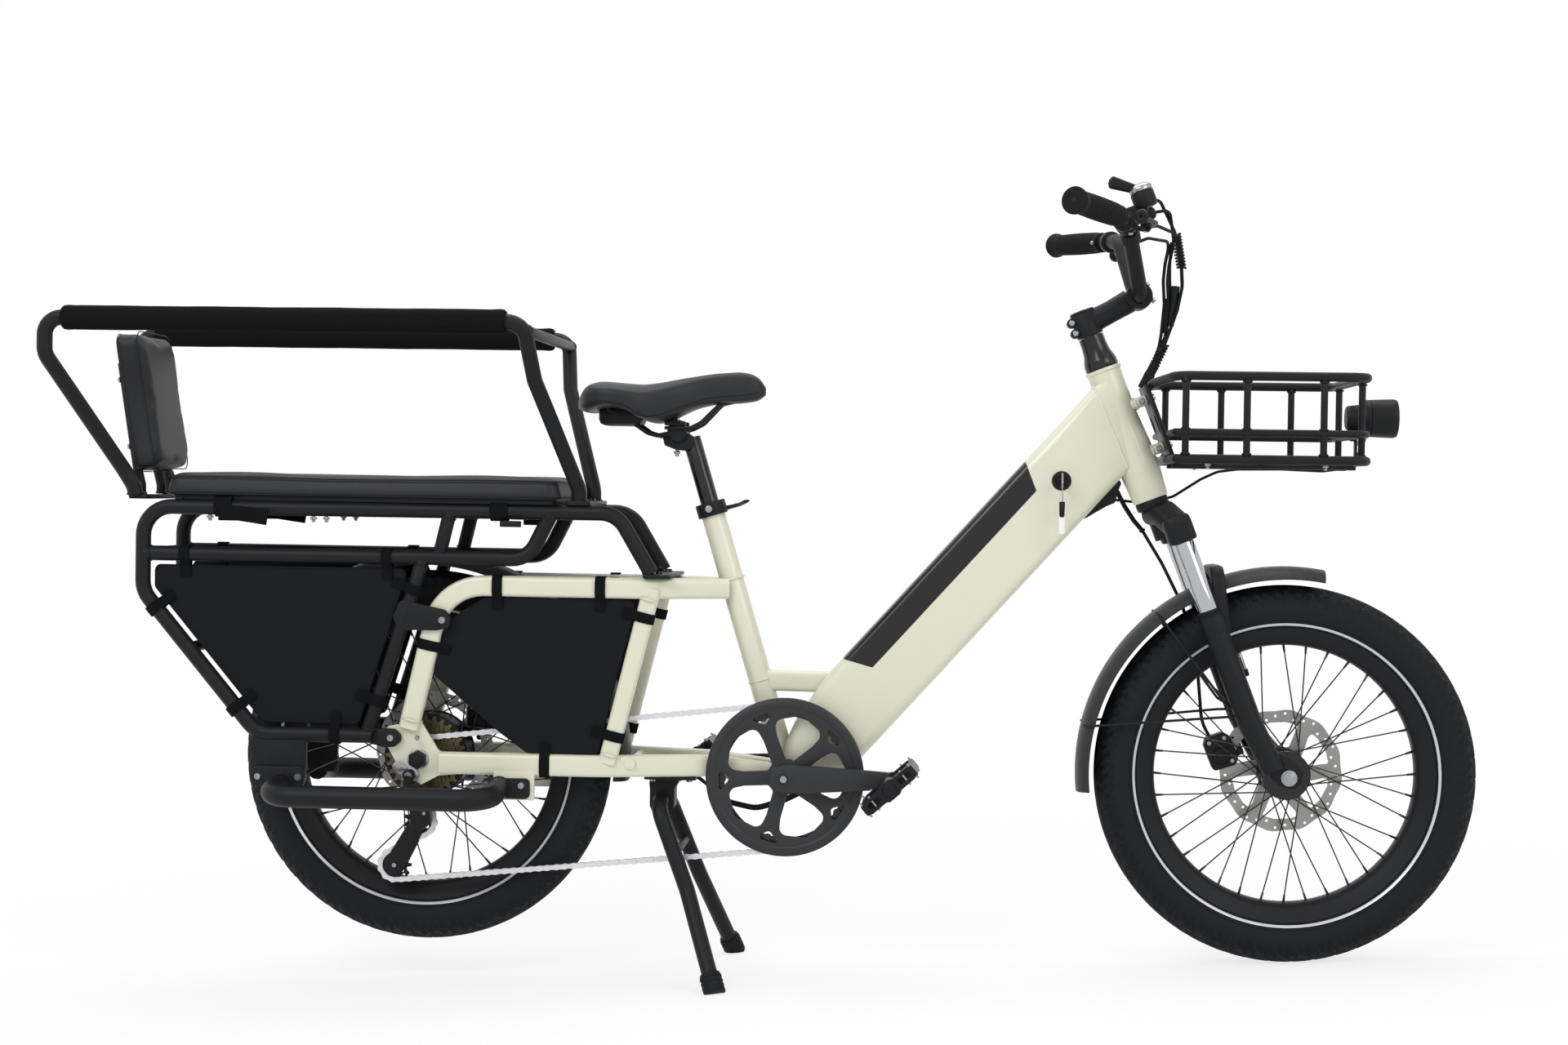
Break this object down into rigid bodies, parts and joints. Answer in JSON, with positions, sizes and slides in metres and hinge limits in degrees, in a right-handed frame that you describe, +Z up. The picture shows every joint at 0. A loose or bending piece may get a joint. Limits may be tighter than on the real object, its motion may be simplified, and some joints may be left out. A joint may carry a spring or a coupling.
{
  "type": "longtail cargo bicycle",
  "caption": "Longtail electric cargo bicycle on its centre stand, with hand rails round a padded rear seat, side panels, footrests, a front basket and a battery in the down tube.",
  "frame": {"origin": "on the ground, under the middle of the bounding box", "axes": "+X forward, +Y to the rider's left, +Z up; the bicycle leans 2.7 degrees nose down on its centre stand and front wheel"},
  "size_m": [2.02, 0.6254, 1.1243],
  "materials": {
    "frame_paint": "gloss cream paint",
    "black_metal": "satin black powder coat",
    "fork_metal": "black crown, bright stanchions",
    "tyre": "matt rubber with a pale stripe",
    "grip_rubber": "matt",
    "foam": "matt sponge",
    "pad_fabric": "woven cover",
    "saddle_skin": "soft matt",
    "panel_fabric": "coarse cloth",
    "black_plastic": "satin",
    "steel": "machined",
    "chain_steel": "plated",
    "sprocket_steel": "oiled"
  },
  "bodies": {
    "frame": {"main_frame": "frame_paint", "seat_collar": "black_metal", "bottom_bracket": "steel", "cargo_rack": "black_metal", "hand_rail": "black_metal", "rail_foam_left": "foam", "rail_foam_right": "foam", "seat_pad": "pad_fabric", "backrest_pad": "pad_fabric", "backrest_bracket": "black_metal", "panel_front_left": "panel_fabric", "panel_front_right": "panel_fabric", "panel_rear_left": "panel_fabric", "panel_rear_right": "panel_fabric", "footrest_left": "black_metal", "footrest_right": "black_metal", "rear_mudguard": "black_plastic", "basket": "black_metal", "headlight": "black_plastic", "stand_bracket": "black_metal", "derailleur": "black_plastic", "rear_caliper": "black_plastic", "chain": "chain_steel", "rear_axle": "steel"},
    "steering": {"fork_crown": "fork_metal", "stem": "black_metal", "handlebar": "black_metal", "grip_left": "grip_rubber", "grip_right": "grip_rubber", "brake_perch_left": "black_metal", "brake_perch_right": "black_metal", "shifter_body": "black_plastic", "cable_bundle": "grip_rubber"},
    "fork_slider": {"fork_lowers": "black_metal", "front_mudguard": "black_plastic", "front_caliper": "black_plastic", "front_axle": "steel"},
    "front_wheel": {"front_tyre": "tyre", "front_rim": "black_metal", "front_hub": "black_metal", "front_rotor": "steel"},
    "rear_wheel": {"rear_tyre": "tyre", "rear_rim": "black_metal", "motor_hub": "black_metal", "rear_rotor": "steel"},
    "crank": {"crankset_right": "black_metal", "crank_left": "black_metal"},
    "pedal_left": {"pedal_left": "black_metal"},
    "pedal_right": {"pedal_right": "black_metal"},
    "freewheel": {"freewheel": "sprocket_steel"},
    "guide_pulley": {"guide_pulley": "black_plastic"},
    "tension_pulley": {"tension_pulley": "black_plastic"},
    "brake_lever_left": {"brake_lever_left": "black_metal"},
    "brake_lever_right": {"brake_lever_right": "black_metal"},
    "shift_lever": {"shift_lever": "black_plastic"},
    "stand": {"stand_legs": "black_metal"},
    "seat_post": {"seat_post": "black_metal", "saddle": "saddle_skin"},
    "battery": {"battery_pack": "black_plastic"},
    "key": {"key": "steel"}
  },
  "joints": [
    {"name": "steering_turn", "type": "hinge", "parent": "frame", "child": "steering", "pos_m": [0.55869, 0, 0.67535], "axis": [-0.314, 0, 0.9494], "range_deg": [-50, 50], "deforming": ["cable_bundle"]},
    {"name": "fork_travel", "type": "slide", "parent": "steering", "child": "fork_slider", "axis": [-0.314, 0, 0.9494], "range_m": [0, 0.05], "stiffness_N_per_m": 8000, "springref_m": -0.035},
    {"name": "front_wheel_spin", "type": "hinge", "parent": "fork_slider", "child": "front_wheel", "pos_m": [0.73705, 0, 0.273], "axis": [0, 1, 0], "continuous": true},
    {"name": "rear_wheel_spin", "type": "hinge", "parent": "frame", "child": "rear_wheel", "pos_m": [-0.51356, 0, 0.33198], "axis": [0, 1, 0], "continuous": true},
    {"name": "crank_spin", "type": "hinge", "parent": "frame", "child": "crank", "pos_m": [0.01759, 0, 0.29091], "axis": [0, 1, 0], "continuous": true},
    {"name": "pedal_right_spin", "type": "hinge", "parent": "crank", "child": "pedal_right", "pos_m": [0.17242, -0.1415, 0.28361], "axis": [0, 1, 0], "continuous": true},
    {"name": "pedal_left_spin", "type": "hinge", "parent": "crank", "child": "pedal_left", "pos_m": [-0.13724, 0.1415, 0.29821], "axis": [0, 1, 0], "continuous": true},
    {"name": "freewheel_spin", "type": "hinge", "parent": "frame", "child": "freewheel", "pos_m": [-0.51356, 0, 0.33198], "axis": [0, 1, 0], "continuous": true},
    {"name": "guide_pulley_spin", "type": "hinge", "parent": "frame", "child": "guide_pulley", "pos_m": [-0.51994, -0.05, 0.23917], "axis": [0, 1, 0], "continuous": true},
    {"name": "tension_pulley_spin", "type": "hinge", "parent": "frame", "child": "tension_pulley", "pos_m": [-0.55896, -0.05, 0.17594], "axis": [0, 1, 0], "continuous": true},
    {"name": "brake_lever_left_pull", "type": "hinge", "parent": "steering", "child": "brake_lever_left", "pos_m": [0.55199, 0.14896, 1.05715], "axis": [0.2538, 0, 0.9673], "range_deg": [0, 18], "stiffness_Nm_per_rad": 2, "springref_deg": -17.19},
    {"name": "brake_lever_right_pull", "type": "hinge", "parent": "steering", "child": "brake_lever_right", "pos_m": [0.55199, -0.14896, 1.05715], "axis": [0.2538, 0, 0.9673], "range_deg": [-18, 0], "stiffness_Nm_per_rad": 2, "springref_deg": 17.19},
    {"name": "shift_lever_push", "type": "hinge", "parent": "steering", "child": "shift_lever", "pos_m": [0.54806, -0.12592, 1.1089], "axis": [-0.314, 0, 0.9494], "range_deg": [-25, 25]},
    {"name": "stand_fold", "type": "hinge", "parent": "frame", "child": "stand", "pos_m": [-0.16659, 0, 0.25955], "axis": [0, 1, 0], "range_deg": [0, 92]},
    {"name": "seat_height", "type": "slide", "parent": "frame", "child": "seat_post", "axis": [-0.2453, 0, 0.9694], "range_m": [-0.05, 0.06]},
    {"name": "battery_lift", "type": "slide", "parent": "frame", "child": "battery", "axis": [-0.7133, 0, 0.7009], "range_m": [0, 0.12]},
    {"name": "key_turn", "type": "hinge", "parent": "frame", "child": "key", "pos_m": [0.42941, -0.045, 0.70641], "axis": [0, 1, 0], "range_deg": [0, 90]}
  ],
  "couplings": [
    {"joint": "freewheel_spin", "follows": "crank_spin", "ratio": 3.7143},
    {"joint": "guide_pulley_spin", "follows": "crank_spin", "ratio": -4.7273},
    {"joint": "tension_pulley_spin", "follows": "crank_spin", "ratio": 4.7273}
  ]
}
